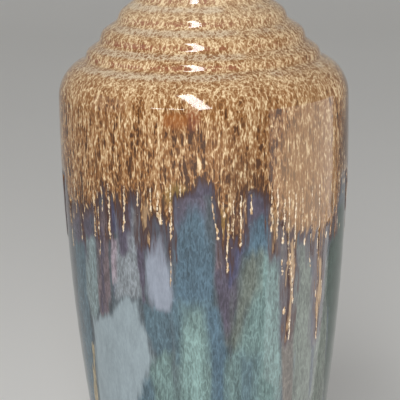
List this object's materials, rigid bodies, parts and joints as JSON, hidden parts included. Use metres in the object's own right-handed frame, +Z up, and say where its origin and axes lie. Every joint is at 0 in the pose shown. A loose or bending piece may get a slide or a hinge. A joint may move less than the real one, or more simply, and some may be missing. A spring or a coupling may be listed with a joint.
{
  "type": "bottle vase",
  "caption": "Thrown stoneware bottle vase with a rippled shoulder, narrow flared neck and a run glaze lapping over a blue-green base glaze.",
  "frame": {"origin": "centre of the foot ring, on the surface that the vase stands on", "axes": "+Z up through the mouth; -Y towards the pictured side; +X to that side's right"},
  "size_m": [0.15, 0.15, 0.35],
  "materials": {
    "bare_clay": "fired stoneware, unglazed",
    "liner_glaze": "gloss, brown",
    "base_glaze": "gloss, blue-green with pale clouds",
    "run_glaze": "gloss, cream streaks over amber brown"
  },
  "bodies": {
    "root": {"foot_ring": "bare_clay", "body_wall": "bare_clay", "shoulder": "bare_clay", "neck": "bare_clay", "liner_glaze": "liner_glaze", "base_glaze": "base_glaze", "run_glaze": "run_glaze"}
  },
  "joints": []
}
